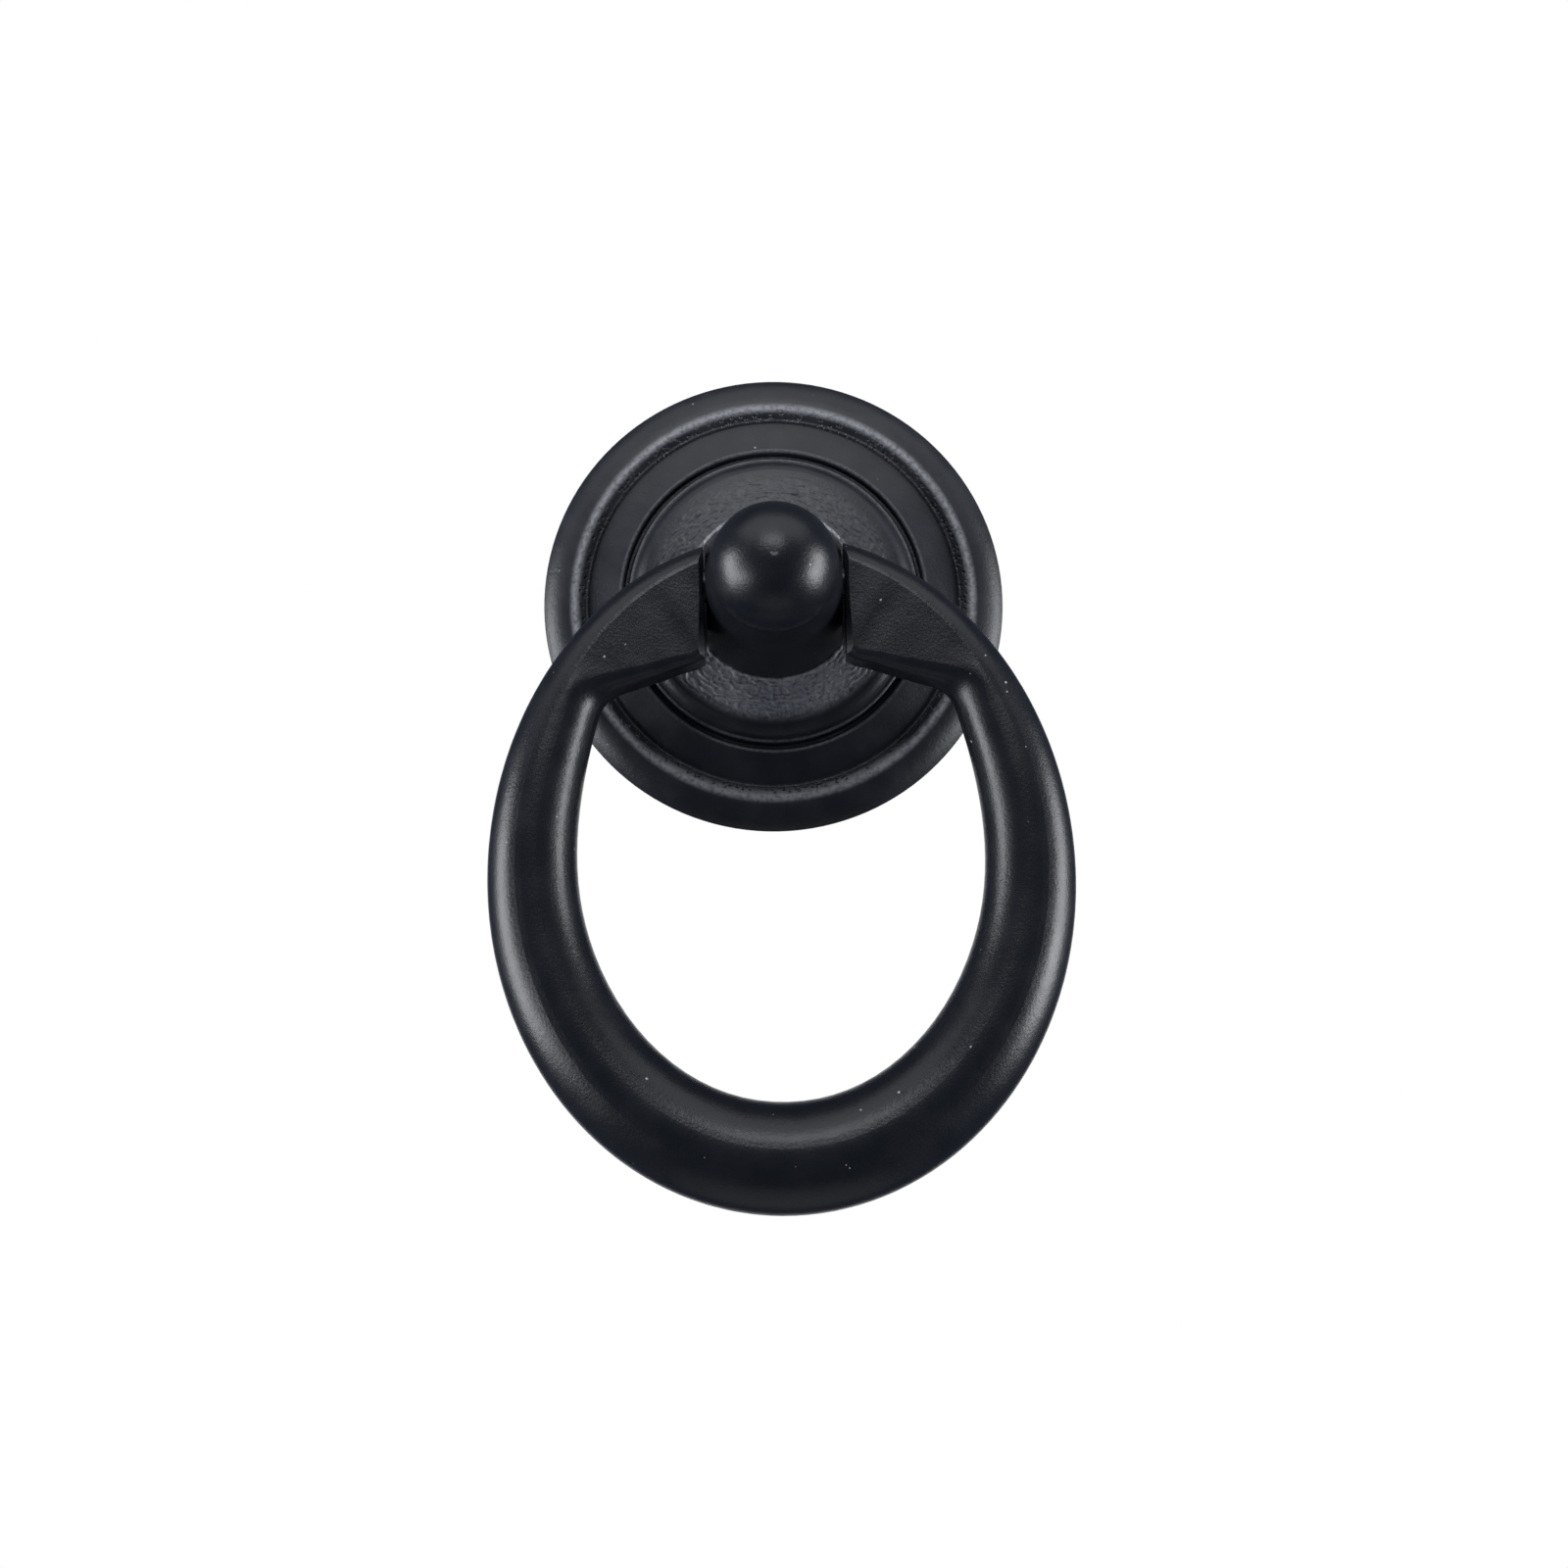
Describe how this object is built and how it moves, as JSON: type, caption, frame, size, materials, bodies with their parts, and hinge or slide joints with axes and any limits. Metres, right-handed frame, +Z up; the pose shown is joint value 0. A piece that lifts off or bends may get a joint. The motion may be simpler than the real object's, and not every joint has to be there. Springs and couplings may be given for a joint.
{
  "type": "ring pull handle",
  "caption": "Drop ring pull for a drawer or door: round beaded rosette, ball-ended post, and an oval ring that swings from the post on two pegs.",
  "frame": {"origin": "centre of the rosette's back, at the mouth of the screw hole, on the face of the drawer or door", "axes": "+Z up the door, +Y into the door, -Y out towards the hand, +X to the right; the ring hangs down -Z"},
  "size_m": [0.0512, 0.0222, 0.0761],
  "materials": {
    "cast_black": "semi-matte black paint over a slightly rough casting",
    "smooth_black": "satin black paint over a smooth casting"
  },
  "bodies": {
    "base": {"rosette": "cast_black", "post": "smooth_black"},
    "ring": {"ring": "smooth_black"}
  },
  "joints": [
    {"name": "ring_swing", "type": "hinge", "parent": "base", "child": "ring", "pos_m": [0, -0.0096, 0], "axis": [-1, 0, 0], "range_deg": [-5, 185]}
  ]
}
